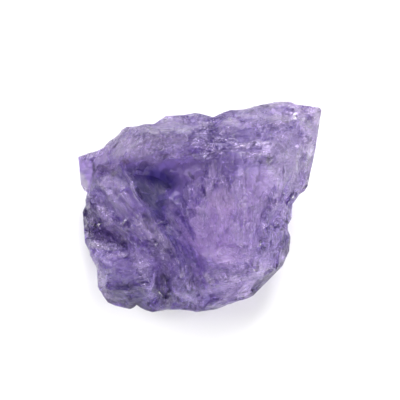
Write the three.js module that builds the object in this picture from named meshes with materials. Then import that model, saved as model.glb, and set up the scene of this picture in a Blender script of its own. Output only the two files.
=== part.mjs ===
// A rough piece of violet scapolite, one solid crystal fragment about 24 mm long.
//
// It lies on a flat cleavage face. Its upper side is broken into creases, ledges and hollows,
// and its underside tapers from a thin, irregular rim to that face. Millimetres, +Z up, with
// the origin under the middle of the fragment, on the surface that it lies on.
import * as THREE from "three";

// Driving dimensions, in millimetres
const LENGTH = 24.2;
const BREADTH = 21.0;
const THICKNESS = 12.0;

// The forms below are surveyed on a sheet of squares, SQUARES_LONG of them along LENGTH. Each
// point is [across, down, height], in squares. Across runs to +X and down runs to -Y.
const SQUARES_LONG = 242;
const SQUARE = LENGTH / SQUARES_LONG;

// How far apart the mesh's points lie, in squares. The flat face that it lies on needs the fewest.
const TOP_SPACING = 3.9;
const UNDER_SPACING = 6.2;
const BASE_SPACING = 16;
// The least gap between points: in squares on the creases, and as a share of the spacing along
// the steps and on the faces
const CREASE_GAP = 1.3;
const STEP_GAP = 0.62;
const FACE_GAP = 0.8;
// How far the points of the faces stray from their rows, as a share of the spacing
const STRAY = 0.3;

// The rim, clockwise as seen from above: the fragment is widest along this line.
const rim = [
  [78, 157, 50], [88, 153.5, 53], [98, 151, 58], [104, 148, 62], [109, 142, 63],
  [119.5, 134.5, 66], [122, 131, 71], [127, 128, 77], [140, 127, 80], [146, 125, 78],
  [155, 124.5, 73], [161, 120, 68], [166, 116.5, 66], [186, 115.5, 66], [196, 114, 69],
  [204, 115.5, 73], [213, 118.5, 78], [222, 114, 75], [230, 111, 73], [243, 110.5, 74],
  [260, 106, 76], [278, 103, 78], [289, 103, 77], [294, 105.5, 78], [304, 107, 80],
  [318, 109, 80], [320, 112, 78], [318.5, 122, 74], [315, 148, 67], [311, 168, 60],
  [307, 187, 56], [304.5, 191, 57], [299, 194.5, 59], [292.5, 204, 57], [291.5, 210, 54],
  [292, 217, 51], [287.8, 225, 52], [288, 230, 49], [290.5, 236, 44], [290, 251, 37],
  [282.5, 267, 38], [270, 279.5, 37], [257, 292, 41], [253, 296, 42], [246, 299, 39],
  [230, 304.5, 34], [217, 310, 30], [197, 312.5, 32], [180, 310, 36], [166, 310, 38],
  [152, 312.5, 36], [146, 311, 36], [140, 308, 40], [136.5, 305, 45], [133.5, 308, 41],
  [129, 309.5, 36], [114, 306, 32], [107, 303, 32], [103.5, 298, 34], [97, 287, 36],
  [96, 268, 38], [92, 258, 42], [84.5, 243, 44], [83, 222, 42], [82, 212, 44],
  [85.5, 205, 50], [86, 197, 54], [87.5, 192.5, 55], [84, 191, 49], [80.5, 184, 46],
  [79, 166, 48],
];

// Creases of the upper side. Faces lie between them.
const topCreases = {
  flakeFace: [[82, 159, 55], [84, 170, 53], [85, 182, 51]],
  flakeRoot: [[93, 157, 60], [93, 170, 56], [91, 182, 54], [88.5, 191, 55]],
  flakeWall: [[97, 163, 67], [96, 178, 67], [94, 188, 68], [92, 198, 66], [90, 210, 60]],
  humpLeft: [[122, 134, 76], [123, 142, 88], [122, 151, 92], [119, 157, 91]],
  gullyUpperEdge: [[97, 163, 67], [108, 166, 74], [114, 161, 83], [119, 157, 91]],
  gullyFloor: [[95, 171, 59], [104, 172, 64], [113, 170, 70], [118, 165, 78], [121, 162, 87]],
  gullyLowerEdge: [[96, 178, 67], [104, 177, 73], [114, 176, 81], [119, 171, 90], [121, 166, 92]],
  humpCrest: [[123, 142, 88], [133, 138, 98], [146, 134, 101], [158, 137, 103], [168, 141, 105],
    [180, 143, 108], [192, 146, 112]],
  humpFold: [[133, 138, 98], [136, 148, 103], [143, 150, 106], [158, 143, 107], [168, 141, 105]],
  ledgeTop: [[122, 159, 95], [130, 160, 99], [140, 158, 103], [150, 156, 106], [160, 152, 109],
    [172, 150, 111], [186, 150, 112], [205, 151, 114]],
  ledgeFoot: [[126, 163, 84], [133, 164, 83], [142, 162, 85], [152, 160, 89], [162, 156.5, 97],
    [174, 155, 106]],
  hollowFloor: [[129, 173, 79], [140, 175, 74], [150, 176, 72], [160, 179, 72], [168, 184, 73],
    [171, 189, 74]],
  hollowShelf: [[137, 180, 80], [147, 187, 80], [156, 195, 79], [163, 203, 77]],
  hollowRightEdge: [[174, 155, 106], [176, 165, 102], [180, 175, 100], [178, 184, 97],
    [175, 190, 93], [170, 199, 87]],
  lobeEdge: [[121, 166, 92], [125, 175, 94], [131, 187, 96], [137, 198, 97], [145, 206, 98],
    [151, 214, 97], [154, 224, 95], [162, 232, 94], [168, 239, 91], [175, 248, 85]],
  valleyLeft: [[127.5, 175, 83], [134.5, 186, 79], [141, 197, 77], [149, 205, 76], [157, 216, 74],
    [164, 228, 73], [171, 237, 73], [178, 246, 74], [186, 256, 73], [192, 268, 69],
    [196, 280, 63], [199, 292, 55], [202, 304, 43]],
  valleyRight: [[170, 199, 84], [172, 210, 79], [176, 220, 77], [182, 232, 77], [190, 246, 76],
    [198, 258, 75], [201, 270, 71], [202, 282, 63]],
  centreLeftEdge: [[180, 175, 101], [181, 190, 102], [182, 205, 99], [184, 218, 95],
    [190, 230, 93], [196, 243, 91], [203, 255, 89], [207, 266, 87], [206, 277, 79]],
  summit: [[205, 151, 114], [222, 153, 116], [238, 154, 118], [252, 156, 119], [264, 158, 119],
    [276, 160, 113]],
  brow: [[181, 190, 102], [200, 196, 105], [222, 192, 109], [240, 186, 112], [258, 182, 112],
    [268, 176, 112]],
  lowerBrow: [[207, 266, 87], [220, 268, 91], [234, 266, 93], [248, 268, 89], [260, 270, 80],
    [270, 268, 68]],
  lowerStep: [[206, 277, 79], [220, 281, 82], [236, 280, 80], [250, 279, 72], [262, 277, 60]],
  lowerSlope: [[204, 296, 58], [222, 298, 54], [240, 293, 54], [254, 286, 50]],
  rightShoulder: [[240, 186, 112], [246, 198, 109], [249, 212, 106], [250, 228, 102],
    [247, 244, 97], [248, 258, 92], [248, 268, 89]],
  rightFoot: [[284, 198, 79], [281, 207, 72], [279, 218, 69], [276, 230, 67], [274, 242, 64],
    [272, 256, 63], [270, 268, 60]],
  topStepOne: [[208, 142, 110], [222, 143, 111], [234, 148, 115], [250, 149.5, 116],
    [258, 143, 114], [272, 140, 113]],
  topStepTwo: [[224, 128, 99], [240, 126, 101], [262, 121.5, 104], [282, 121.5, 103],
    [300, 121, 97]],
  topStepThree: [[226, 119, 86], [244, 118, 90], [260, 116.5, 95], [280, 116, 95], [299, 117, 92],
    [308, 115, 87]],
  notchGully: [[213, 120, 79], [215, 127, 86], [216, 136, 97], [218, 141, 107]],
  notchLeft: [[205, 122, 87], [206, 130, 98], [207, 138, 106]],
  bandStepOne: [[164, 123, 77], [172, 126, 84], [184, 127, 87], [196, 126, 89], [205, 122, 87]],
  bandStepTwo: [[160, 130, 92], [170, 134, 97], [184, 136, 101], [198, 137, 105],
    [207, 138, 106]],
  rightShelf: [[276, 160, 113], [276, 175, 109], [277, 190, 103], [270, 200, 99], [262, 214, 94],
    [260, 232, 88], [259, 250, 84]],
  rightRib: [[281, 136, 110], [287, 146, 104], [289, 158, 101], [289, 172, 97], [288, 186, 91],
    [284, 198, 79]],
  rightBand: [[307, 120, 90], [308, 134, 87], [307, 150, 83], [305, 165, 78], [302, 178, 74],
    [297, 188, 70]],
  cornerRidge: [[272, 140, 113], [281, 136, 110], [292, 128, 103], [300, 121, 97], [308, 115, 87],
    [315, 112, 82]],
  outerRib: [[294, 132, 98], [297, 146, 95], [298, 160, 91], [297, 174, 86], [294, 186, 79]],
  outerGroove: [[301, 128, 90], [302, 142, 86], [302, 156, 81], [300, 170, 77], [297, 181, 72]],
  brightFacet: [[224, 122, 93], [238, 121, 95], [240, 126, 101]],
  patch: [[250, 149.5, 116], [258, 156, 118], [272, 153, 115], [272, 140, 113]],
  streak: [[101, 186, 80], [110, 195, 86], [120, 205, 91], [129, 211, 93]],
  streakGroove: [[98, 192, 72], [105, 201, 77], [115, 210, 82], [126, 216, 86]],
  leftHollowBrow: [[91, 221, 56], [102, 217, 72], [114, 214, 81], [126, 216, 87],
    [136, 222, 91], [142, 232, 92], [147, 244, 89]],
  leftHollowFloor: [[90, 231, 47], [101, 233, 52], [110, 236, 54], [118, 242, 57],
    [126, 248, 64], [131, 252, 70]],
  leftHollowWall: [[118, 226, 76], [126, 233, 82], [132, 242, 84], [137, 250, 83]],
  shelfEdge: [[88, 246, 50], [95, 243, 61], [104, 244, 68], [113, 246.5, 71], [121, 250, 74],
    [130, 256, 79], [139, 259, 84]],
  lowerLobeTop: [[100, 256, 69], [112, 260, 77], [124, 264, 84], [136, 266, 88], [142, 268, 87]],
  lowerLobeBrow: [[107, 274, 72], [120, 276, 81], [134, 277, 84], [143, 278, 83]],
  lowerLobeStep: [[108, 279, 67], [121, 280, 74], [134, 281, 76], [142, 282, 76]],
  lowerLobeFoot: [[110, 298, 48], [122, 300, 51], [132, 299, 54], [140, 297, 59]],
  lowerLobeLeft: [[94, 255, 56], [99, 263, 64], [104, 273, 66], [107, 283, 60], [106, 294, 48]],
  middleRidge: [[149, 258, 85], [149, 268, 88], [146, 280, 83], [146, 292, 71], [146, 303, 54]],
  middleRidgeRight: [[154, 268, 83], [155, 280, 76], [156, 291, 64], [157, 303, 50]],
  middleGroove: [[155, 256, 79], [160, 268, 74], [166, 280, 67], [170, 292, 58], [173, 303, 45]],
  middleStep: [[174, 262, 80], [175.5, 276, 77], [176.5, 290, 68], [178, 302, 52]],
  footRidge: [[178, 260, 80], [183, 272, 79], [188, 285, 71], [190, 299, 54]],
};

// The cleavage face that the fragment lies on: its outline, flat on the ground
const base = [
  [116, 178, 0], [146, 150, 0], [228, 142, 0], [243, 172, 0], [237, 230, 0], [214, 273, 0],
  [150, 271, 0], [112, 228, 0],
];

// Creases of the underside between that face and the rim
const underCreases = {
  cleavageStep: [[230.5, 142, 8], [245.5, 172, 8], [239.5, 231, 8], [224, 259, 7]],
  stepEdge: [[240, 139, 9], [272, 168, 10], [266, 226, 10], [240, 262, 8], [224, 259, 7]],
  stepRidge: [[230.5, 142, 8], [240, 139, 9]],
  leftEnd: [[93, 170, 40], [108, 152, 38], [116, 178, 0]],
  backLeft: [[108, 152, 38], [130, 140, 44], [160, 131, 42], [146, 150, 0]],
  backMiddle: [[160, 131, 42], [196, 124, 44], [214, 127, 50], [246, 119, 44], [240, 139, 9]],
  backRight: [[246, 119, 44], [284, 112, 58], [306, 117, 63], [299, 152, 46], [272, 168, 10]],
  rightSide: [[299, 152, 46], [296, 178, 38], [284, 198, 36], [280, 220, 30], [266, 226, 10]],
  frontRight: [[280, 220, 30], [280, 246, 16], [262, 272, 16], [240, 288, 14], [240, 262, 8]],
  front: [[240, 288, 14], [206, 299, 12], [176, 297, 18], [150, 271, 0]],
  frontLeft: [[176, 297, 18], [146, 299, 15], [116, 293, 12], [104, 270, 20], [112, 228, 0]],
  leftSide: [[104, 270, 20], [92, 244, 25], [92, 214, 30], [93, 194, 42], [93, 170, 40]],
};

// The broken faces are split into shallow dished flakes, each tilted its own way, with a step
// between neighbours. Width is a flake's width in squares and stretch is how much longer it is
// along the grain. Wander is how far its long way turns from the grain, in radians. Tilt is its
// greatest slope, of which each flake has at least the share leastTilt. Dish is how far its edges
// stand above its middle, and reach is how unevenly the flakes share the ground.
const flakes = {
  width: 19, stretch: 2.6, wander: 0.4, tilt: 0.2, leastTilt: 0.35, dish: 2.2, reach: 0.3,
};
const HALF_STEP = 0.6;
// The steps between flakes are looked for on a grid this wide, and placed by halving it this often.
const STEP_GRID = 3;
const STEP_HALVINGS = 6;
// Flakes fade out within this distance of the rim, and below this height on the underside.
const RIM_FADE = 6;
const GROUND_FADE = 14;
// On steep faces a flake's relief is measured along the face, up to this many times its depth.
const STEEPEST = 2.2;
// Points below this height are on the flat cleavage face.
const ON_GROUND = 0.01;

// The part of the sheet that the fragment covers
const sheet = { left: 70, right: 330, top: 95, bottom: 320 };

// The first of the random numbers of each side's flakes
const TOP_SEED = 11;
const UNDER_SEED = 31;

// Which way the grain runs, in radians from +X towards down, in parts of the upper side:
// along the upper edge, down the right side, down the middle, and across the left lobes
const grains = [
  { x: 255, y: 125, angle: -0.12 }, { x: 180, y: 130, angle: 0.1 }, { x: 300, y: 165, angle: 1.5 },
  { x: 285, y: 230, angle: 1.8 }, { x: 225, y: 205, angle: 1.45 }, { x: 230, y: 285, angle: -0.25 },
  { x: 110, y: 195, angle: 0.8 }, { x: 140, y: 145, angle: -0.6 }, { x: 105, y: 235, angle: 0.35 },
  { x: 165, y: 225, angle: 1.0 }, { x: 120, y: 285, angle: 0.1 }, { x: 165, y: 285, angle: 1.4 },
];

// A repeatable number from 0 to 1 for each pair of numbers
function scatter(i, j, seed) {
  const s = Math.sin(i * 127.1 + j * 311.7 + seed * 74.7) * 43758.5453;
  return s - Math.floor(s);
}

function grainAt(x, y) {
  const away = (g) => Math.hypot(g.x - x, g.y - y);
  return grains.reduce((best, g) => (away(g) < away(best) ? g : best)).angle;
}

// The flakes of one side: a middle, a grain and a tilt each
function makeFlakes(seed) {
  const made = [];
  const { width, wander, tilt, leastTilt, reach } = flakes;
  for (let i = 0; sheet.left + i * width < sheet.right; i++) {
    for (let j = 0; sheet.top + j * width < sheet.bottom; j++) {
      const x = sheet.left + (i + scatter(i, j, seed)) * width;
      const y = sheet.top + (j + scatter(i, j, seed + 1)) * width;
      const angle = grainAt(x, y) + wander * (scatter(i, j, seed + 2) - 0.5);
      const slope = tilt * (leastTilt + (1 - leastTilt) * scatter(i, j, seed + 3));
      const facing = 2 * Math.PI * scatter(i, j, seed + 4);
      made.push({
        x, y, along: [Math.cos(angle), Math.sin(angle)],
        tilt: [slope * Math.cos(facing), slope * Math.sin(facing)],
        pull: 1 + reach * (scatter(i, j, seed + 5) - 0.5),
      });
    }
  }
  return made;
}

// The flake that a point is on, and how far it is from that flake's middle, squared. Distance
// counts for less along the grain.
function flakeAt(x, y, made) {
  let best = null;
  let least = Infinity;
  for (const flake of made) {
    const dx = x - flake.x;
    const dy = y - flake.y;
    const along = (dx * flake.along[0] + dy * flake.along[1]) / flakes.stretch;
    const across = dy * flake.along[0] - dx * flake.along[1];
    const away = (along * along + across * across) * flake.pull;
    if (away < least) [least, best] = [away, flake];
  }
  return { flake: best, away: least };
}

// Points in pairs, one on each side of every step between two flakes
function stepPoints(made) {
  const pairs = [];
  for (let x = sheet.left; x < sheet.right; x += STEP_GRID) {
    for (let y = sheet.top; y < sheet.bottom; y += STEP_GRID) {
      for (const [dx, dy] of [[1, 0], [0, 1]]) {
        const isHere = (s) => flakeAt(x + dx * s, y + dy * s, made).flake === here;
        const here = flakeAt(x, y, made).flake;
        if (isHere(STEP_GRID)) continue;
        let [low, high] = [0, STEP_GRID];
        for (let k = 0; k < STEP_HALVINGS; k++) {
          const middle = (low + high) / 2;
          if (isHere(middle)) low = middle;
          else high = middle;
        }
        pairs.push([low - HALF_STEP, high + HALF_STEP].map((s) => [x + dx * s, y + dy * s]));
      }
    }
  }
  return pairs;
}

// Points along a line, no further apart than spacing
function sampled(line, spacing, closed) {
  const points = [];
  const last = closed ? line.length : line.length - 1;
  for (let i = 0; i < last; i++) {
    const from = line[i];
    const to = line[(i + 1) % line.length];
    const steps = Math.max(1, Math.round(Math.hypot(to[0] - from[0], to[1] - from[1]) / spacing));
    for (let k = 0; k < steps; k++) {
      points.push(from.map((v, axis) => v + ((to[axis] - v) * k) / steps));
    }
  }
  if (!closed) points.push(line[line.length - 1]);
  return points;
}

// Whether a point is inside a closed outline
function isInside(x, y, outline) {
  let inside = false;
  for (let i = 0, j = outline.length - 1; i < outline.length; j = i++) {
    const [xi, yi] = outline[i];
    const [xj, yj] = outline[j];
    if (yi > y !== yj > y && x < ((xj - xi) * (y - yi)) / (yj - yi) + xi) inside = !inside;
  }
  return inside;
}

// Delaunay triangles of the points, by adding them one at a time
function triangulate(points) {
  const far = 1e4;
  const all = [...points, [-far, -far], [far, -far], [0, far]];
  const n = points.length;
  const circled = (a, b, c) => {
    const [ax, ay] = all[a];
    const bx = all[b][0] - ax;
    const by = all[b][1] - ay;
    const cx = all[c][0] - ax;
    const cy = all[c][1] - ay;
    const d = 2 * (bx * cy - by * cx);
    const ux = (cy * (bx * bx + by * by) - by * (cx * cx + cy * cy)) / d;
    const uy = (bx * (cx * cx + cy * cy) - cx * (bx * bx + by * by)) / d;
    return { a, b, c, x: ax + ux, y: ay + uy, r2: ux * ux + uy * uy };
  };
  let triangles = [circled(n, n + 1, n + 2)];
  for (let p = 0; p < n; p++) {
    const [x, y] = all[p];
    const edges = new Map();
    const kept = [];
    for (const t of triangles) {
      if ((x - t.x) ** 2 + (y - t.y) ** 2 >= t.r2) {
        kept.push(t);
        continue;
      }
      for (const [u, v] of [[t.a, t.b], [t.b, t.c], [t.c, t.a]]) {
        const back = v * all.length + u;
        if (edges.has(back)) edges.delete(back);
        else edges.set(u * all.length + v, [u, v]);
      }
    }
    for (const [u, v] of edges.values()) kept.push(circled(u, v, p));
    triangles = kept;
  }
  return triangles.filter((t) => t.a < n && t.b < n && t.c < n).map((t) => [t.a, t.b, t.c]);
}

// A point nudged by a hair, so that no four lie on one circle
function nudged([x, y, z]) {
  const hair = 0.02;
  return [x + hair * (scatter(x, y, 1) - 0.5), y + hair * (scatter(y, x, 2) - 0.5), z];
}

// Adds a point unless the list already has one within reach
function addClear(list, point, reach) {
  if (list.every((p) => Math.hypot(p[0] - point[0], p[1] - point[1]) > reach)) list.push(point);
}

// The face between creases that a point is on: its height there, and how much longer it is than
// its plan
function faceAt(x, y, points, triangles) {
  const hair = 1e-9;
  for (const [a, b, c] of triangles) {
    const [ax, ay, az] = points[a];
    const [bx, by, bz] = points[b];
    const [cx, cy, cz] = points[c];
    const whole = (bx - ax) * (cy - ay) - (cx - ax) * (by - ay);
    const u = ((bx - x) * (cy - y) - (cx - x) * (by - y)) / whole;
    const v = ((cx - x) * (ay - y) - (ax - x) * (cy - y)) / whole;
    if (u < -hair || v < -hair || u + v > 1 + hair) continue;
    const slopeX = ((bz - az) * (cy - ay) - (cz - az) * (by - ay)) / whole;
    const slopeY = ((cz - az) * (bx - ax) - (bz - az) * (cx - ax)) / whole;
    return { height: u * az + v * bz + (1 - u - v) * cz, steepness: Math.hypot(1, slopeX, slopeY) };
  }
  throw new Error("a point lies outside the creases");
}

// Rows of points over the sheet, each strayed a little
function rowsOfPoints() {
  const points = [];
  const rowStep = (TOP_SPACING * Math.sqrt(3)) / 2;
  for (let row = 0; sheet.top + row * rowStep < sheet.bottom; row++) {
    for (let column = 0; sheet.left + column * TOP_SPACING < sheet.right; column++) {
      const strayX = STRAY * (scatter(column, row, 3) - 0.5);
      const strayY = STRAY * (scatter(column, row, 4) - 0.5);
      points.push([
        sheet.left + (column + (row % 2) / 2 + strayX) * TOP_SPACING,
        sheet.top + row * rowStep + strayY * TOP_SPACING,
      ]);
    }
  }
  return points;
}

// One side of the fragment: the rim's points first, then the creases', the steps' and the faces'
function side(creases, spacing, seed) {
  const spacingAt = (height) => (height < ON_GROUND ? BASE_SPACING : spacing);
  const points = rimPoints.map((p) => [...p]);
  for (const line of Object.values(creases)) {
    for (const p of sampled(line, spacing, false)) {
      if (isInside(p[0], p[1], rimPoints)) addClear(points, nudged(p), CREASE_GAP);
    }
  }
  const lines = points.map((p) => [...p]);
  const facets = triangulate(lines);
  const made = makeFlakes(seed);
  for (const pair of stepPoints(made)) {
    if (!pair.every(([x, y]) => isInside(x, y, rimPoints))) continue;
    const ends = pair.map(([x, y]) => [x, y, faceAt(x, y, lines, facets).height]);
    const gap = STEP_GAP * spacingAt(ends[0][2]);
    const isClear = (p) => points.every((q) => Math.hypot(q[0] - p[0], q[1] - p[1]) > gap);
    if (ends.every(isClear)) points.push(...ends.map(nudged));
  }
  for (const [x, y] of rowsOfPoints()) {
    if (!isInside(x, y, rimPoints)) continue;
    const { height } = faceAt(x, y, lines, facets);
    addClear(points, [x, y, height], FACE_GAP * spacingAt(height));
  }
  const shaped = points.map(([x, y, z], i) => {
    if (i < rimPoints.length || z < ON_GROUND) return [x, y, z];
    const toRim = Math.min(...rimPoints.map((p) => Math.hypot(p[0] - x, p[1] - y)));
    const { flake, away } = flakeAt(x, y, made);
    const tilted = (x - flake.x) * flake.tilt[0] + (y - flake.y) * flake.tilt[1];
    const dished = flakes.dish * ((4 * away) / flakes.width ** 2 - 0.5);
    const steepness = Math.min(STEEPEST, faceAt(x, y, lines, facets).steepness);
    const share = Math.min(1, toRim / RIM_FADE) * Math.min(1, z / GROUND_FADE) * steepness;
    return [x, y, z + share * (tilted + dished)];
  });
  const middleInside = ([a, b, c]) =>
    isInside(
      (points[a][0] + points[b][0] + points[c][0]) / 3,
      (points[a][1] + points[b][1] + points[c][1]) / 3,
      rimPoints,
    );
  return { points: shaped, triangles: triangulate(points).filter(middleInside) };
}

const rimPoints = sampled(rim, TOP_SPACING, true).map(nudged);

function crystalGeometry() {
  const top = side(topCreases, TOP_SPACING, TOP_SEED);
  const under = side({ base: [...base, base[0]], ...underCreases }, UNDER_SPACING, UNDER_SEED);
  const shared = rimPoints.length;
  const vertices = [...top.points, ...under.points.slice(shared)];
  const underIndex = (i) => (i < shared ? i : i - shared + top.points.length);
  // Down on the sheet is -Y, which turns each triangle round.
  const positions = vertices.flatMap(([x, y, z]) => [x * SQUARE, -y * SQUARE, z * SQUARE]);
  const faces = [
    ...top.triangles.map(([a, b, c]) => [a, c, b]),
    ...under.triangles.map(([a, b, c]) => [underIndex(a), underIndex(b), underIndex(c)]),
  ];
  const geometry = new THREE.BufferGeometry();
  geometry.setAttribute("position", new THREE.Float32BufferAttribute(positions, 3));
  geometry.setIndex(faces.flat());
  // Brings the surveyed forms to the driving dimensions and over the origin
  geometry.computeBoundingBox();
  const { min, max } = geometry.boundingBox;
  geometry.translate(-(min.x + max.x) / 2, -(min.y + max.y) / 2, -min.z);
  geometry.scale(
    LENGTH / (max.x - min.x),
    BREADTH / (max.y - min.y),
    THICKNESS / (max.z - min.z),
  );
  geometry.computeVertexNormals();
  return geometry;
}

const violetScapolite = new THREE.MeshStandardMaterial({
  color: 0x8577aa,
  roughness: 0.25,
  metalness: 0,
  flatShading: true,
});

const crystal = new THREE.Mesh(crystalGeometry(), violetScapolite);
crystal.name = "scapolite_crystal";

const specimen = new THREE.Group();
specimen.add(crystal);

export default specimen;
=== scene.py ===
import math

import bmesh
import bpy
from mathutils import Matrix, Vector
from mathutils.kdtree import KDTree


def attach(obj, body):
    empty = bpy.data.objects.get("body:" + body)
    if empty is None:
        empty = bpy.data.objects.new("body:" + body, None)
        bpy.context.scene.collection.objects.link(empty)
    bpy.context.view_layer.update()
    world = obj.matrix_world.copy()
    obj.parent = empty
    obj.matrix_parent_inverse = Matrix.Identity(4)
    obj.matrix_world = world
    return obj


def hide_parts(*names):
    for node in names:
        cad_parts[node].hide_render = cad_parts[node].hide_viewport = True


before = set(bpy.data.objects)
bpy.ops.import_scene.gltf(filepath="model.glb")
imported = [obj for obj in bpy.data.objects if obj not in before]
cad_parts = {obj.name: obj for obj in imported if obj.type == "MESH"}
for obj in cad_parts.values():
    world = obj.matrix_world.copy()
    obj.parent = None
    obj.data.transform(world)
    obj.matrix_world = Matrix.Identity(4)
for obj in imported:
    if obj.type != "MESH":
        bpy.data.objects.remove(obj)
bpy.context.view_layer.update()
scene = bpy.context.scene


# The camera.
# It looks straight down at the fragment from a long way off, so its rim and its upper side show
# as on a sheet. The picture is square and 40 mm wide at the height of the rim.
PICTURE_WIDTH = 0.040
LENS = 180
SENSOR = 36
RIM_HEIGHT = 0.0050
PICTURE_MIDDLE = (0.0001, 0.00078)
NEAREST = 0.01                    # nothing closer to the camera than this shows

lens = bpy.data.cameras.new("camera")
lens.lens = LENS
lens.sensor_width = SENSOR
lens.clip_start = NEAREST
camera = bpy.data.objects.new("camera", lens)
camera.location = (*PICTURE_MIDDLE, RIM_HEIGHT + PICTURE_WIDTH * LENS / SENSOR)
scene.collection.objects.link(camera)
scene.camera = camera


# The crystal.
# One broken piece of clear violet scapolite. It was never cut or polished: every face is a
# fracture or a cleavage step, with striations along the grain and bruised, cloudy edges.
TENTHS = 1e4                      # tenths of a millimetre in a metre, the unit of the patterns
MERGE_DISTANCE = 1e-6
REFINE_CUTS = 3                   # new points along each edge of the solid
FLAT_HEIGHT = 0.00015             # the cleavage face it lies on stays flat up to here
FULL_HEIGHT = 0.0014              # and the relief is full from here
SHARP_ANGLE = 20                  # two faces that meet at more degrees than this show an edge
RIM_REACH = 0.0008                # the relief fades out towards the thin rim within this
RIM_SHARE = 0.10                  # the share of the relief that the rim itself has

FLAKE_STRETCH = 4.0               # how much longer a flake is along the grain than across it
STRIATION_STRETCH = 4.0
STRIATION_CREST = 0.75            # how far across a step its crest lies
# Striations come and go in patches: the scale of soft noise, and the span of it where they do
STRIATION_PATCHES = (0.045, 0.42, 0.58)
WANDER = 5.0                      # how many steps a striation wanders across the grain
WANDER_SCALE = 0.07
BEND_SCALE = 0.05                 # the whole pattern is bent by soft noise of this scale
BEND = 8.0                        # and by this much
GRIT_SCALE = 0.45                 # the finest roughness, between the striations
# Four ways that the grain runs, in degrees from +X, and the parts of the upper side where it
# does: middle x and y, and reach, in tenths of a millimetre
GRAINS = {
    "across": (6, [((60, 78), 72), ((-15, 82), 40), ((-82, -62), 40), ((48, -74), 46)]),
    "slanting": (-52, [((-80, 6), 36), ((-50, 0), 30), ((-30, -32), 34), ((-62, -22), 34)]),
    "rising": (42, [((-62, 64), 34), ((-94, 54), 26), ((72, -58), 26)]),
    "upright": (86, [((100, 25), 44), ((30, 5), 52), ((-22, -82), 34), ((72, -20), 44)]),
}
GRAIN_POWER = 4.0                 # how sharply one grain ends where the next begins
GRAIN_LEAST = 0.02
# Parts of the upper side that broke smooth: how much of the relief they lose, then their middle
# x and y, and reach
SMOOTH_PARTS = {
    "hollow": (0.88, [((-56, 30), 26), ((-36, 26), 26), ((-50, 8), 22), ((-4, 38), 12)]),
    "lobe": (0.5, [((-87, 12), 15), ((-74, 2), 13)]),
    "left": (0.7, [((-93, 54), 14), ((-114, 34), 16), ((-76, -64), 16), ((-36, -78), 14)]),
    "block": (0.86, [((-70, -84), 17)]),
    "centre": (0.45, [((16, -34), 26), ((22, 4), 18)]),
    "upper": (0.55, [((30, 42), 16), ((60, 30), 18), ((44, 73), 13)]),
}

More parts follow.
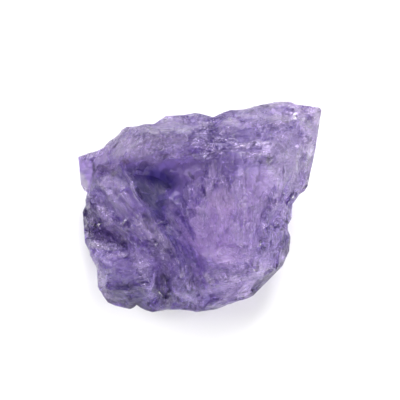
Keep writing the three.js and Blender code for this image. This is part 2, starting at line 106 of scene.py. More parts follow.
# Zones of colour and of painted light and shade: middle x, y and half sizes in tenths of a
# millimetre, the angle of the long way in degrees, the colour, and how strong it is. Some are the
# stone's own deeper or paler violet and its brown stains. Many are painted shade, in the hollow,
# the gullies, the trough and along the foot and the lower and right rims, and painted highlights
# and glints on the rims, bands, stripes and thin flakes. The edge of a zone keeps to the flakes.
COLOUR_AND_LIGHT_ZONES = {
    "upper_right": ((78, 60), (50, 50), 0, (0.60, 0.48, 0.86), 0.7),
    "upper_middle": ((40, 70), (26, 10), 4, (0.15, 0.10, 0.32), 0.85),
    "corner": ((104, 92), (15, 8), -10, (0.30, 0.22, 0.46), 0.75),
    "right_stripes": ((84, 44), (20, 25), 0, (0.92, 0.83, 1.0), 0.88),
    "band": ((-14, 80), (18, 10), 2, (0.50, 0.40, 0.74), 0.75),
    "centre": ((24, -22), (36, 42), 15, (0.78, 0.57, 0.93), 0.88),
    "right_middle": ((60, 18), (20, 20), 0, (0.82, 0.63, 0.98), 0.82),
    "centre_top": ((8, 30), (27, 15), 0, (0.36, 0.235, 0.58), 0.7),
    "above_centre": ((10, 43), (38, 13), 0, (0.28, 0.19, 0.48), 0.7),
    "foot": ((0, -96), (60, 9), 3, (0.18, 0.14, 0.29), 0.8),
    "lower_right": ((50, -70), (38, 18), 22, (0.88, 0.75, 1.0), 0.88),
    "left_lobe": ((-84, 8), (18, 20), -45, (0.42, 0.30, 0.68), 0.7),
    "left_gully": ((-96, -24), (24, 14), -12, (0.09, 0.065, 0.14), 0.9),
    "gully_heart": ((-80, -34), (13, 7), -22, (0.04, 0.025, 0.09), 0.85),
    "lower_lobe": ((-74, -56), (20, 9), -8, (0.30, 0.205, 0.52), 0.75),
    # Painted shade on the lower part, which faces away from the lamps.
    "lower_left": ((-65, -87), (28, 15), -4, (0.03, 0.02, 0.10), 0.93),
    "lower_middle": ((-36, -84), (12, 31), 2, (0.025, 0.014, 0.07), 0.96),
    "trough_foot": ((-10, -78), (12, 23), 8, (0.06, 0.04, 0.16), 0.9),
    "trough_middle": ((-16, -46), (26, 12), -64, (0.26, 0.205, 0.50), 0.8),
    "trough_top": ((-32, -8), (34, 15), -62, (0.19, 0.16, 0.43), 0.85),
    # Painted shade in the hollow under the ledge.
    "hollow": ((-46, 30), (32, 14), -12, (0.11, 0.08, 0.27), 0.95),
    "hollow_face": ((-50, 14), (22, 9), -38, (0.13, 0.125, 0.27), 0.85),
    "hollow_heart": ((-38, 27), (16, 9), -28, (0.035, 0.025, 0.19), 0.9),
    "upper_gully": ((-92, 38), (14, 6), 0, (0.09, 0.07, 0.12), 0.9),
    "hump": ((-50, 62), (36, 17), -4, (0.44, 0.37, 0.50), 0.85),
    "upper_notch": ((14, 76), (8, 15), 0, (0.22, 0.17, 0.40), 0.75),
    "right_face": ((68, -24), (18, 34), 4, (0.40, 0.34, 0.56), 0.7),
    # Painted shade along the right rim.
    "right_edge": ((88, -40), (10, 20), 6, (0.012, 0.008, 0.04), 0.98),
    "facet_rim": ((-86, 71), (18, 4), 38, (1.0, 0.98, 1.0), 0.95),
    "hump_edge": ((-78, 61), (14, 1.3), 86, (0.08, 0.06, 0.12), 0.7),
    "left_facet": ((-93, 54), (13, 8), 42, (0.56, 0.42, 0.76), 0.8),
    "left_flake": ((-114, 34), (9, 22), 6, (0.48, 0.36, 0.70), 0.8),
    # Painted highlights on the upper patch, band and spot, and on the right band.
    "upper_patch": ((52, 62), (16, 3), 4, (0.92, 0.82, 1.0), 0.9),
    "upper_band": ((79, 88), (17, 3.5), 1, (1.0, 0.95, 1.0), 0.97),
    "upper_spot": ((33, 83), (9, 4), -8, (0.98, 0.92, 1.0), 0.9),
    "right_band": ((107, 58), (4.5, 34), 4, (1.0, 0.97, 1.0), 0.92),
    "bright_patch": ((10, -41), (5, 7), 0, (0.82, 0.66, 0.98), 0.8),
    "foot_light": ((6, -69), (11, 5), -18, (0.98, 0.90, 1.0), 0.92),
    # Painted shade in the lower notch.
    "lower_notch": ((-50, -100), (20, 9), -4, (0.010, 0.004, 0.045), 0.99),
    "ridge_shade": ((-48, -16), (15, 5), -60, (0.04, 0.022, 0.13), 0.92),
    "foot_patch": ((28, -67), (15, 6), -8, (0.98, 0.90, 1.0), 0.95),
    "band_shade": ((82, 80), (17, 5), 2, (0.14, 0.10, 0.28), 0.85),
    "lower_stripes": ((96, 14), (7, 12), 0, (0.86, 0.78, 1.0), 0.8),
    "left_rim": ((-108, -4), (12, 18), -8, (0.06, 0.045, 0.10), 0.9),
    "lower_left_rim": ((-93, -93), (8, 7), -50, (0.08, 0.06, 0.13), 0.92),
    "lobe_head": ((-93, 26), (12, 7), -20, (0.24, 0.17, 0.40), 0.85),
    "lower_step": ((-27, -91), (10, 15), 0, (0.016, 0.008, 0.06), 0.96),
    "right_rim": ((88, -14), (5, 12), 4, (0.94, 0.88, 1.0), 0.85),
    "centre_foot": ((10, -54), (14, 5), -20, (0.36, 0.26, 0.60), 0.8),
    "centre_heart": ((26, 4), (16, 15), 0, (0.94, 0.71, 1.0), 0.82),
    "flake_foot": ((-117, 23), (6, 12), 10, (1.0, 0.95, 1.0), 0.9),
    "corner_rim": ((118, 88), (4, 16), 4, (1.0, 0.98, 1.0), 0.9),
    "trough_bend": ((-34, -36), (14, 9), -50, (0.07, 0.05, 0.15), 0.88),
    "trough_light": ((-25, 3), (9, 7), -30, (0.45, 0.36, 0.66), 0.85),
    "hump_foot": ((-60, 55), (15, 6), -8, (0.66, 0.54, 0.80), 0.8),
    "foot_rim": ((8, -105), (24, 4), 2, (0.06, 0.05, 0.11), 0.93),
    "trough_end": ((-6, -88), (8, 9), 0, (0.04, 0.03, 0.12), 0.9),
    "flake_head": ((-110, 54), (10, 5), 20, (0.88, 0.80, 1.0), 0.85),
    "upper_light": ((56, 72), (8, 5), 10, (0.50, 0.40, 0.74), 0.8),
    "top_rim": ((66, 101), (22, 4), 8, (0.96, 0.92, 1.0), 0.85),
    "hump_rim": ((-72, 80), (9, 4), 25, (0.92, 0.88, 0.97), 0.85),
    "lobe_shade": ((-94, -4), (7, 8), -30, (0.12, 0.08, 0.20), 0.85),
    # Painted highlights on the ledge rim and on the ridge, and painted shade in the crease at the
    # flake's root.
    "ledge_rim": ((-93, -38), (18, 3.2), -8, (1.0, 0.95, 1.0), 0.95),
    "ridge_line": ((-66, 21), (19, 1.3), -63, (0.92, 0.84, 1.0), 0.75),
    "flake_root": ((-106, 32), (18, 1.3), 84, (0.03, 0.02, 0.06), 0.8),
    "black_dot": ((52, 62), (2.2, 2), 0, (0.01, 0.01, 0.03), 0.97),
    "brown_line": ((53, -4), (12, 1.3), 86, (0.16, 0.08, 0.12), 0.7),
    "brown_spot": ((-73, 46), (5, 3), 20, (0.10, 0.05, 0.07), 0.8),
    "foot_spot": ((41, -82), (7, 3), 0, (0.18, 0.09, 0.14), 0.6),
    "upper_mark": ((-6, 32), (5, 1.8), -50, (0.02, 0.01, 0.08), 0.85),
    "middle_mark": ((5, 17), (6, 1.6), -70, (0.04, 0.02, 0.12), 0.8),
    "lower_mark": ((6, -9), (8, 1.5), -80, (0.05, 0.03, 0.14), 0.75),
    "trough_sparkle": ((-26, -19), (6, 4), 0, (0.94, 0.90, 1.0), 0.7),
    "trough_glint": ((-9, -79), (6, 1.5), -35, (0.96, 0.92, 1.0), 0.8),
    "veil": ((-61, 63), (10, 2), 42, (0.90, 0.84, 0.96), 0.7),
    "band_streak": ((-14, 76), (11, 1.4), 1, (0.96, 0.92, 1.0), 0.85),
    "band_facet": ((-33, 90), (8, 5), 20, (1.0, 0.96, 1.0), 0.9),
    "lobe_streak": ((-89, 16), (13, 3), -42, (0.84, 0.72, 1.0), 0.75),
    "lobe_streak_two": ((-79, 3), (11, 3), -34, (0.78, 0.66, 1.0), 0.75),
    "lower_facet": ((-48, -68), (14, 3.5), 88, (0.70, 0.58, 0.96), 0.75),
    "side_flake": ((-98, -71), (17, 3.5), -74, (0.90, 0.84, 1.0), 0.75),
    "right_foot_light": ((63, -61), (11, 4), 25, (0.92, 0.84, 1.0), 0.75),
    # Painted highlights on the stripes by the right edge, with painted shade in the gaps between
    # them.
    "edge_stripe": ((109, 60), (30, 1.8), 84, (1.0, 1.0, 1.0), 0.97),
    "edge_gap": ((104, 48), (24, 1.3), 85, (0.20, 0.14, 0.36), 0.7),
    "inner_stripe": ((96, 40), (18, 1.7), 86, (0.98, 0.92, 1.0), 0.88),
    "inner_gap": ((91, 38), (17, 1.2), 88, (0.26, 0.18, 0.44), 0.65),
    # Painted shade along the right and lower right rims.
    "edge_chip": ((108, 25), (8, 3.5), 76, (0.006, 0.004, 0.02), 0.97),
    "edge_shade": ((71, -71), (32, 6.5), 47, (0.010, 0.007, 0.04), 0.98),
}
BODY_COLOUR = (0.37, 0.245, 0.66, 1)
DEEP_COLOUR = (0.21, 0.14, 0.46, 1)
BY_FLAKE = 0.7                    # how far a broad zone keeps to whole flakes
FLAKE_ZONE = 14                   # zones of less than this half breadth keep to them less
ZONE_EDGE = (0.7, 1.2)            # where a zone's edge fades, as shares of its half size
PART_EDGE = (0.6, 1.15)           # where a part's edge fades, as shares of its reach
CLOUD_SCALE = 0.03                # the body colour goes over into the deep colour in clouds
CLOUD_SPAN = (0.35, 0.62)


def add(tree, kind, inputs=None, **settings):
    """A node of that kind, with its settings, and its inputs linked or set."""
    made = tree.nodes.new(kind)
    for name, value in settings.items():
        setattr(made, name, value)
    for key, value in (inputs or {}).items():
        if isinstance(value, bpy.types.NodeSocket):
            tree.links.new(value, made.inputs[key])
        else:
            made.inputs[key].default_value = value
    return made


def maths(tree, operation, *values):
    made = add(tree, "ShaderNodeMath", dict(enumerate(values)), operation=operation)
    return made.outputs[0]


def vector_maths(tree, operation, *values):
    made = add(tree, "ShaderNodeVectorMath", dict(enumerate(values)), operation=operation)
    return made.outputs["Value" if operation in ("DOT_PRODUCT", "LENGTH", "DISTANCE") else "Vector"]


def summed(tree, kind, values):
    total = values[0]
    for value in values[1:]:
        total = kind(tree, "ADD", total, value)
    return total


def ramp(tree, value, low, high, to_low=0.0, to_high=1.0, smooth=True):
    """Value carried from one span to another, and held at its ends."""
    made = add(tree, "ShaderNodeMapRange", {0: value, 1: low, 2: high, 3: to_low, 4: to_high})
    made.interpolation_type = "SMOOTHSTEP" if smooth else "LINEAR"
    return made.outputs[0]


def parts_share(tree, place, parts):
    """How much a place belongs to those parts: 1 in their middles, 0 past their reach."""
    flat = vector_maths(tree, "MULTIPLY", place, (1, 1, 0))
    total = None
    for middle, reach in parts:
        away = vector_maths(tree, "DISTANCE", flat, (*middle, 0))
        share = ramp(tree, away, reach * PART_EDGE[0], reach * PART_EDGE[1], 1.0, 0.0)
        total = share if total is None else maths(tree, "MAXIMUM", total, share)
    return total


def turned(tree, place, angle):
    made = add(tree, "ShaderNodeVectorRotate", {"Vector": place, "Angle": math.radians(angle)},
               rotation_type="Z_AXIS")
    return made.outputs[0]


def along_grain(tree, place, angle, stretch):
    """The place turned so that its X runs along the grain, and shrunk along it."""
    return vector_maths(tree, "MULTIPLY", turned(tree, place, -angle), (1 / stretch, 1, 1))


def off_grain(tree, place, angle, stretch):
    """The way back from along_grain."""
    return turned(tree, vector_maths(tree, "MULTIPLY", place, (stretch, 1, 1)), angle)


def flake_relief(tree, place, width, tilt, dish, step):
    """Flakes, each with its own tilt and level and a slight dish: their relief, a number from 0
    to 1 that is each flake's own, and each flake's middle."""
    cells = add(tree, "ShaderNodeTexVoronoi",
                {"Vector": place, "Scale": maths(tree, "DIVIDE", 1.0, width)})
    cell = cells.outputs
    from_middle = vector_maths(tree, "SUBTRACT", place, cell["Position"])
    facing = vector_maths(tree, "SUBTRACT", cell["Color"], (0.5, 0.5, 0.5))
    tilted = maths(tree, "MULTIPLY", vector_maths(tree, "DOT_PRODUCT", from_middle, facing), tilt)
    dished = maths(tree, "MULTIPLY", maths(tree, "POWER", cell["Distance"], 2.0), dish)
    own = add(tree, "ShaderNodeSeparateXYZ", {0: cell["Color"]}).outputs["Z"]
    level = maths(tree, "MULTIPLY", maths(tree, "SUBTRACT", own, 0.5), step)
    return summed(tree, maths, [tilted, dished, level]), own, cell["Position"]


def striations(tree, place, width):
    """Steps that run side by side along X, each from 0 up to 1, and that come and go."""
    wander = add(tree, "ShaderNodeTexNoise",
                 {"Vector": place, "Scale": WANDER_SCALE, "Detail": 2.0})
    across = add(tree, "ShaderNodeSeparateXYZ", {0: place}).outputs["Y"]
    level = maths(tree, "DIVIDE", across, width)
    level = maths(tree, "ADD", level, maths(tree, "MULTIPLY", wander.outputs[0], WANDER))
    rising = maths(tree, "FRACT", level)
    step = maths(tree, "MULTIPLY", rising, ramp(tree, rising, STRIATION_CREST, 1.0, 1.0, 0.0))
    scale, least, most = STRIATION_PATCHES
    patches = add(tree, "ShaderNodeTexNoise", {"Vector": place, "Scale": scale, "Detail": 1.0})
    return maths(tree, "MULTIPLY", step, ramp(tree, patches.outputs[0], least, most))


def blended(tree, share, first, second):
    made = add(tree, "ShaderNodeMix", {0: share, 6: first, 7: second}, data_type="RGBA")
    return made.outputs[2]


def painted(tree, place, shift, colour):
    """That colour, with the zones of colour and of painted light and shade laid over it, each moved
    towards the middles of the flakes.
    """
    for middle, half, angle, tint, strength in COLOUR_AND_LIGHT_ZONES.values():
        by_flake = BY_FLAKE * min(1, min(half) / FLAKE_ZONE)
        moved = add(tree, "ShaderNodeVectorMath", {0: shift, 1: (by_flake,) * 3, 2: place},
                    operation="MULTIPLY_ADD").outputs[0]
        from_middle = vector_maths(tree, "SUBTRACT", moved, (*middle, 0))
        shrunk = vector_maths(tree, "MULTIPLY", turned(tree, from_middle, -angle),
                              (1 / half[0], 1 / half[1], 0))
        away = vector_maths(tree, "LENGTH", shrunk)
        share = ramp(tree, away, *ZONE_EDGE, strength, 0.0)
        colour = blended(tree, share, colour, (*tint, 1))
    return colour


def bent_place(tree, place, scale, detail, reach):
    """The place moved about by soft noise, so that no pattern runs quite straight."""
    noise = add(tree, "ShaderNodeTexNoise", {"Vector": place, "Scale": scale, "Detail": detail})
    off = vector_maths(tree, "SUBTRACT", noise.outputs["Color"], (0.5, 0.5, 0.5))
    return add(tree, "ShaderNodeVectorMath", {0: off, 1: reach, 2: place},
               operation="MULTIPLY_ADD").outputs[0]


def scaled(tree, vector, scale):
    made = add(tree, "ShaderNodeVectorMath", {0: vector, "Scale": scale}, operation="SCALE")
    return made.outputs[0]


def make_broken_surface():
    """The node tree that breaks the solid's faces into flakes and striations."""
    tree = bpy.data.node_groups.new("broken_surface", "GeometryNodeTree")
    sockets = tree.interface
    sockets.new_socket("Geometry", in_out="INPUT", socket_type="NodeSocketGeometry")
    for name in ("Flake Width", "Flake Tilt", "Flake Dish", "Flake Step", "Chip Width",
                 "Chip Tilt", "Chip Dish", "Chip Step", "Striation Width", "Striation Relief",
                 "Grit Relief"):
        sockets.new_socket(name, in_out="INPUT", socket_type="NodeSocketFloat")
    sockets.new_socket("Material", in_out="INPUT", socket_type="NodeSocketMaterial")
    sockets.new_socket("Geometry", in_out="OUTPUT", socket_type="NodeSocketGeometry")
    given = tree.nodes.new("NodeGroupInput").outputs

    position = tree.nodes.new("GeometryNodeInputPosition").outputs[0]
    normal = tree.nodes.new("GeometryNodeInputNormal").outputs[0]
    place = scaled(tree, position, TENTHS)
    bent = bent_place(tree, place, BEND_SCALE, 2.0, (BEND,) * 3)

    smooth = 0.0
    for lost, parts in SMOOTH_PARTS.values():
        part = maths(tree, "MULTIPLY", parts_share(tree, bent, parts), lost)
        smooth = maths(tree, "MAXIMUM", smooth, part)
    rough_share = maths(tree, "SUBTRACT", 1.0, smooth)

    total, _, _ = flake_relief(tree, bent, given["Chip Width"], given["Chip Tilt"],
                               given["Chip Dish"], given["Chip Step"])
    kept = {"smooth_share": smooth}
    tones = []
    shifts = []
    crests = []
    shares = {}
    for name, (angle, parts) in GRAINS.items():
        share = parts_share(tree, bent, parts)
        shares[name] = maths(tree, "POWER", share, GRAIN_POWER)
    all_shares = maths(tree, "ADD", summed(tree, maths, list(shares.values())), GRAIN_LEAST)
    for name, (angle, parts) in GRAINS.items():
        share = maths(tree, "DIVIDE", shares[name], all_shares)
        kept["grain_" + name] = share
        grained = along_grain(tree, bent, angle, FLAKE_STRETCH)
        flakes, tone, middle = flake_relief(tree, grained, given["Flake Width"],
                                            given["Flake Tilt"], given["Flake Dish"],
                                            given["Flake Step"])
        fine = along_grain(tree, bent, angle, STRIATION_STRETCH)
        steps = striations(tree, fine, given["Striation Width"])
        crests.append(maths(tree, "MULTIPLY", steps, share))
        lines = maths(tree, "MULTIPLY", steps, given["Striation Relief"])
        part = maths(tree, "MULTIPLY", maths(tree, "ADD", flakes, lines), share)
        total = maths(tree, "ADD", total, part)
        tones.append(maths(tree, "MULTIPLY", maths(tree, "SUBTRACT", tone, 0.5), share))
        shift = vector_maths(tree, "SUBTRACT", off_grain(tree, middle, angle, FLAKE_STRETCH), bent)
        shifts.append(scaled(tree, shift, share))
    kept["striation"] = summed(tree, maths, crests)
    # Each flake's own number, which the material turns into paler and darker flakes: partly a tone
    # that differs at random, partly a painted sheen and painted shade, as if each flake caught the
    # light its own way.
    kept["flake_tone_and_sheen"] = maths(tree, "MULTIPLY", summed(tree, maths, tones), rough_share)
    cloud = add(tree, "ShaderNodeTexNoise",
                {"Vector": bent, "Scale": CLOUD_SCALE, "Detail": 3.0, "Roughness": 0.55}).outputs[0]
    colour = blended(tree, ramp(tree, cloud, *CLOUD_SPAN), DEEP_COLOUR, BODY_COLOUR)
    shift = scaled(tree, summed(tree, vector_maths, shifts), rough_share)
    kept["zone_colour_and_light"] = painted(tree, bent, shift, colour)
    grit = add(tree, "ShaderNodeTexNoise", {"Vector": place, "Scale": GRIT_SCALE, "Detail": 3.0})
    rough = maths(tree, "MULTIPLY", maths(tree, "SUBTRACT", grit.outputs[0], 0.5),
                  given["Grit Relief"])
    total = maths(tree, "ADD", total, rough)

    height = add(tree, "ShaderNodeSeparateXYZ", {0: position}).outputs["Z"]
    above = ramp(tree, height, FLAT_HEIGHT, FULL_HEIGHT)
    from_rim = add(tree, "GeometryNodeInputNamedAttribute", {"Name": "from_rim"},
                   data_type="FLOAT").outputs["Attribute"]
    inside = ramp(tree, from_rim, 0.0, RIM_REACH, RIM_SHARE, 1.0)
    above = maths(tree, "MULTIPLY", above, inside)
    above = maths(tree, "MULTIPLY", above, rough_share)
    depth = maths(tree, "DIVIDE", maths(tree, "MULTIPLY", total, above), TENTHS)
    offset = scaled(tree, normal, depth)
    moved = add(tree, "GeometryNodeSetPosition", {"Geometry": given["Geometry"], "Offset": offset})
    shaped = moved.outputs[0]
    for name, value in kept.items():
        kind = "FLOAT_COLOR" if value.type == "RGBA" else "FLOAT"
        stored = add(tree, "GeometryNodeStoreNamedAttribute", {"Geometry": shaped, "Name": name},
                     data_type=kind)
        tree.links.new(value, stored.inputs["Value"])
        shaped = stored.outputs[0]
    real = add(tree, "GeometryNodeRealizeInstances", {"Geometry": shaped})
    dressed = add(tree, "GeometryNodeSetMaterial",
                  {"Geometry": real.outputs[0], "Material": given["Material"]})
    add(tree, "NodeGroupOutput", {"Geometry": dressed.outputs[0]})
    return tree


# Marks that only the material shows: width in tenths of a millimetre and stretch along the grain,
# then the detail of the noise
STREAKS = (7.0, 3.2, 4.0)
SPECKLES = (2.4, 1.4, 3.0)
LINES = (2.4, 3.5, 2.0)
SCALES = (4.5, 3.0)
SCALE_TILT = 0.5
SCALE_DISH = 0.5
SCALE_STEP = 0.4
MARK_BEND_SCALE = 0.06
MARK_BEND = (7.0, 7.0, 6.0)


def kept_value(tree, name):
    """A number that the relief's tree stored on the surface."""
    return add(tree, "ShaderNodeAttribute", attribute_name=name).outputs["Fac"]


def grained_noise(tree, place, width, stretch, detail):
    """Streaks along the grain, each part of the surface with its own direction."""
    parts = []
    for name, (angle, _) in GRAINS.items():
        fine = along_grain(tree, place, angle, stretch)
        streaks = add(tree, "ShaderNodeTexNoise",
                      {"Vector": fine, "Scale": 1 / width, "Detail": detail, "Roughness": 0.6})
        level = maths(tree, "SUBTRACT", streaks.outputs[0], 0.5)
        parts.append(maths(tree, "MULTIPLY", level, kept_value(tree, "grain_" + name)))
    return summed(tree, maths, parts)


def grained_flakes(tree, place, width, stretch):
    """Small flakes along the grain, each part of the surface with its own direction."""
    parts = []
    for name, (angle, _) in GRAINS.items():
        fine = along_grain(tree, place, angle, stretch)
        relief, _, _ = flake_relief(tree, fine, width, SCALE_TILT, SCALE_DISH, SCALE_STEP)
        parts.append(maths(tree, "MULTIPLY", relief, kept_value(tree, "grain_" + name)))
    return summed(tree, maths, parts)


PALE_COLOUR = (0.85, 0.70, 1.0, 1)
BRUISE_COLOUR = (0.97, 0.95, 1.0, 1)
SHADE_COLOUR = (0.07, 0.035, 0.22, 1)
# Where each mark comes in or goes out, as a span of its pattern's value, and how strong it is at
# both ends of the span
# Pale and dark flakes: partly random tone, partly painted sheen and painted shade.
PALE_FLAKES = (0.05, 0.36, 0.0, 0.65)
DARK_FLAKES = (-0.4, -0.06, 0.6, 0.0)
# Painted glints: pale streaks along the grain, where the roughness is also lowest.
PALE_STREAKS = (0.04, 0.12, 0.0, 0.4)
PALE_SPECKLES = (0.02, 0.12, 0.0, 0.5)
DARK_SPECKLES = (-0.12, -0.02, 0.5, 0.0)
# Painted glints on the crests of the striations.
PALE_STRIATIONS = (0.45, 0.85, 0.0, 0.35)
BRUISES = (0.54, 0.64, 0.0, 0.4)
# Thin lines of painted highlight and painted shade along the edges of the pale streaks, as on the
# lit and the shaded side of a small step.
PALE_LINES = (0.008, 0.035, 0.3, 0.0)
DARK_LINES = (0.008, 0.035, 0.35, 0.0)
PALE_LINE_LEVEL = 0.055           # a thin line runs where the streaks' value is this
DARK_LINE_LEVEL = 0.0
LIVELY_SPAN = (0.0, 0.9, 1.0, 0.25)     # the smoother a part is, the weaker its marks
CLEAR_SPAN = (0.0, 0.16, 0.35, 1.0)     # dark zones, both deep clear stone and painted shade, have weaker marks
SCALE_RELIEF = 0.8
STEP_RELIEF = (0.0, 0.06, 0.0, 0.6)
BUMP_STRENGTH = 0.6
BUMP_DEPTH = 0.0001
STREAK_ROUGHNESS = (-0.10, 0.10, 0.28, 0.09)
SMOOTH_ROUGHNESS = 0.2            # what a smooth part has on top, because it is cloudy inside
TRANSMISSION = 0.8
IOR = 1.55
SPECULAR_LEVEL = 0.34
SPECULAR_TINT = (0.84, 0.74, 1.0, 1)
ABSORPTION_COLOUR = (0.50, 0.38, 0.84, 1)
ABSORPTION_DENSITY = 42.0


def tinted(tree, colour, tint, value, span, factor=None):
    """The colour with that tint laid over it, as strongly as the value within its span says."""
    share = ramp(tree, value, *span)
    if factor is not None:
        share = maths(tree, "MULTIPLY", share, factor)
    return blended(tree, share, colour, tint)


def make_violet_scapolite():
    material = bpy.data.materials.new("violet_scapolite")
    material.use_nodes = True
    tree = material.node_tree
    shader = tree.nodes["Principled BSDF"]
    place = scaled(tree, tree.nodes.new("ShaderNodeTexCoord").outputs["Object"], TENTHS)
    bent = bent_place(tree, place, MARK_BEND_SCALE, 3.0, MARK_BEND)
    flake_tone_and_sheen = kept_value(tree, "flake_tone_and_sheen")
    still = kept_value(tree, "smooth_share")
    striation = kept_value(tree, "striation")
    colour = add(tree, "ShaderNodeAttribute", attribute_name="zone_colour_and_light").outputs["Color"]
    streaks = grained_noise(tree, bent, *STREAKS)
    speckles = grained_noise(tree, bent, *SPECKLES)
    lines = grained_noise(tree, bent, *LINES)
    scales = grained_flakes(tree, bent, *SCALES)
    pointed = tree.nodes.new("ShaderNodeNewGeometry").outputs["Pointiness"]

    brightness = add(tree, "ShaderNodeRGBToBW", {0: colour}).outputs[0]
    clear = ramp(tree, brightness, *CLEAR_SPAN)
    lively = maths(tree, "MULTIPLY", ramp(tree, still, *LIVELY_SPAN, smooth=False), clear)
    # Paler and darker flakes: partly random tone, partly painted sheen and painted shade.
    colour = tinted(tree, colour, PALE_COLOUR, flake_tone_and_sheen, PALE_FLAKES, clear)
    colour = tinted(tree, colour, SHADE_COLOUR, flake_tone_and_sheen, DARK_FLAKES)
    # Painted glints: pale streaks along the grain.
    colour = tinted(tree, colour, PALE_COLOUR, streaks, PALE_STREAKS, lively)
    # Painted highlight and painted shade in thin lines along the streaks' edges.
    for level, span, tint in [(PALE_LINE_LEVEL, PALE_LINES, PALE_COLOUR),
                              (DARK_LINE_LEVEL, DARK_LINES, SHADE_COLOUR)]:
        off = maths(tree, "ABSOLUTE", maths(tree, "SUBTRACT", streaks, level))
        colour = tinted(tree, colour, tint, off, span, lively)
    colour = tinted(tree, colour, PALE_COLOUR, speckles, PALE_SPECKLES, lively)
    colour = tinted(tree, colour, SHADE_COLOUR, speckles, DARK_SPECKLES, lively)
    # Painted glints on the crests of the striations.
    colour = tinted(tree, colour, PALE_COLOUR, striation, PALE_STRIATIONS)
    colour = tinted(tree, colour, BRUISE_COLOUR, pointed, BRUISES, lively)

    height = maths(tree, "ADD", lines, maths(tree, "MULTIPLY", scales, SCALE_RELIEF))
    steps = maths(tree, "MULTIPLY", ramp(tree, streaks, *STEP_RELIEF), lively)
    height = maths(tree, "ADD", height, steps)
    bump = add(tree, "ShaderNodeBump",
               {"Strength": BUMP_STRENGTH, "Distance": BUMP_DEPTH, "Height": height}).outputs[0]
    clouded = maths(tree, "MULTIPLY", still, SMOOTH_ROUGHNESS)
    roughness = maths(tree, "ADD", ramp(tree, streaks, *STREAK_ROUGHNESS), clouded)
    tree.links.new(colour, shader.inputs["Base Color"])
    tree.links.new(roughness, shader.inputs["Roughness"])
    tree.links.new(bump, shader.inputs["Normal"])
    shader.inputs["Transmission Weight"].default_value = TRANSMISSION
    shader.inputs["IOR"].default_value = IOR
    shader.inputs["Specular IOR Level"].default_value = SPECULAR_LEVEL
    shader.inputs["Specular Tint"].default_value = SPECULAR_TINT
    absorbed = add(tree, "ShaderNodeVolumeAbsorption",
                   {"Color": ABSORPTION_COLOUR, "Density": ABSORPTION_DENSITY})
    tree.links.new(absorbed.outputs[0], tree.nodes["Material Output"].inputs["Volume"])
    return material


def rim_distances(solid):
    """How far each point lies from the rim, the line where the upper side meets the underside."""
    solid.normal_update()
    rim = [edge for edge in solid.edges
           if (edge.link_faces[0].normal.z > 0) != (edge.link_faces[1].normal.z > 0)]
    points = {vert for edge in rim for vert in edge.verts}
    tree = KDTree(len(points))
    for index, vert in enumerate(points):
        tree.insert(vert.co, index)
    tree.balance()
    return [tree.find(vert.co)[2] for vert in solid.verts]


def make_crystal(material):
    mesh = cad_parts["scapolite_crystal"].data.copy()
    mesh.name = "violet_crystal"
    solid = bmesh.new()
    solid.from_mesh(mesh)
    bmesh.ops.remove_doubles(solid, verts=solid.verts, dist=MERGE_DISTANCE)
    bmesh.ops.subdivide_edges(solid, edges=solid.edges, cuts=REFINE_CUTS, use_grid_fill=True)
    distances = rim_distances(solid)
    solid.to_mesh(mesh)
    solid.free()
    from_rim = mesh.attributes.new("from_rim", "FLOAT", "POINT")
    from_rim.data.foreach_set("value", distances)
    mesh.materials.clear()
    blank = bpy.data.objects.new("crystal_blank", mesh)
    scene.collection.objects.link(blank)
    modifier = blank.modifiers.new("broken_surface", "NODES")
    tree = make_broken_surface()
    modifier.node_group = tree
    sizes = {
        "Flake Width": 10.0, "Flake Tilt": 0.30, "Flake Dish": 0.1, "Flake Step": 0.8,
        "Chip Width": 26.0, "Chip Tilt": 0.30, "Chip Dish": 0.3, "Chip Step": 0.8,
        "Striation Width": 4.5, "Striation Relief": 0.8, "Grit Relief": 0.05,
        "Material": material,
    }
    for item in tree.interface.items_tree:
        if item.in_out == "INPUT" and item.name in sizes:
            modifier[item.identifier] = sizes[item.name]
    seen = bpy.context.evaluated_depsgraph_get()
    broken = bpy.data.meshes.new_from_object(blank.evaluated_get(seen))
    broken.name = "violet_crystal"
    broken.polygons.foreach_set("use_smooth", [True] * len(broken.polygons))
    broken.set_sharp_from_angle(angle=math.radians(SHARP_ANGLE))
    bpy.data.objects.remove(blank)
    crystal = bpy.data.objects.new("violet_crystal", broken)
    scene.collection.objects.link(crystal)
    return crystal


crystal = make_crystal(make_violet_scapolite())
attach(crystal, "root")
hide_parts("scapolite_crystal")


# The floor and the light.
# A plain white studio floor under four soft lamps. The strongest hangs past the fragment's upper
# edge, and the one in front lifts the shadow off the floor. Pale walls all round are dim.
FLOOR_SIZE = 4.0
FLOOR_GAP = 0.00002               # how far the floor lies under the stone, so no faces coincide
FLOOR_COLOUR = (0.93, 0.93, 0.93, 1)
FLOOR_ROUGHNESS = 0.85
LAMP_SIZE = 0.20
LAMPS = {
    "back": ((0.06, 0.32, 0.26), 1.85),
    "left": ((-0.30, 0.10, 0.16), 1.1),
    "front": ((0.14, -0.30, 0.24), 0.85),
    "right": ((0.32, 0.02, 0.22), 0.5),
}
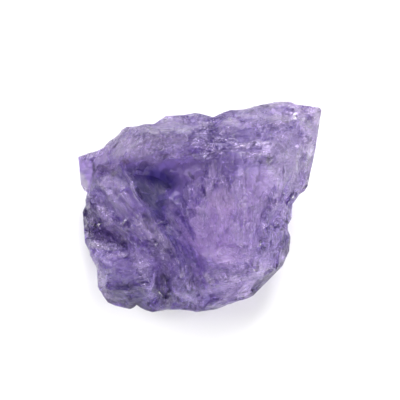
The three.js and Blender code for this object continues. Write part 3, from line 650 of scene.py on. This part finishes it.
# How bright the room is, by the height of the direction, from 0 at the horizon to 1 overhead
HORIZON_SPAN = (0.05, 0.12)
HORIZON_BRIGHTNESS = 0.7
WALL_BRIGHTNESS = 0.12
CEILING_SPAN = (0.4, 0.75)
CEILING_BRIGHTNESS = 0.35

floor_mesh = bpy.data.meshes.new("floor")
half = FLOOR_SIZE / 2
floor_mesh.from_pydata([(-half, -half, -FLOOR_GAP), (half, -half, -FLOOR_GAP),
                        (half, half, -FLOOR_GAP), (-half, half, -FLOOR_GAP)], [], [(0, 1, 2, 3)])
paint = bpy.data.materials.new("pale_floor")
paint.use_nodes = True
coat = paint.node_tree.nodes["Principled BSDF"].inputs
coat["Base Color"].default_value = FLOOR_COLOUR
coat["Roughness"].default_value = FLOOR_ROUGHNESS
floor_mesh.materials.append(paint)
floor = bpy.data.objects.new("floor", floor_mesh)
scene.collection.objects.link(floor)

for name, (lamp_place, power) in LAMPS.items():
    lamp = bpy.data.lights.new(name + "_lamp", "AREA")
    lamp.size = LAMP_SIZE
    lamp.energy = power
    stand = bpy.data.objects.new(name + "_lamp", lamp)
    stand.location = lamp_place
    aim = Vector((0, 0, RIM_HEIGHT)) - Vector(lamp_place)
    stand.rotation_euler = aim.to_track_quat("-Z", "Y").to_euler()
    scene.collection.objects.link(stand)

walls = bpy.data.worlds.new("white_walls")
walls.use_nodes = True
up = add(walls.node_tree, "ShaderNodeSeparateXYZ",
         {0: walls.node_tree.nodes.new("ShaderNodeTexCoord").outputs["Generated"]}).outputs["Z"]
near_floor = ramp(walls.node_tree, up, *HORIZON_SPAN, HORIZON_BRIGHTNESS, WALL_BRIGHTNESS)
overhead = ramp(walls.node_tree, up, *CEILING_SPAN, 0.0, CEILING_BRIGHTNESS)
glow = maths(walls.node_tree, "ADD", near_floor, overhead)
walls.node_tree.nodes["Background"].inputs["Color"].default_value = (1, 1, 1, 1)
walls.node_tree.links.new(glow, walls.node_tree.nodes["Background"].inputs["Strength"])
scene.world = walls
scene.view_settings.view_transform = "Standard"
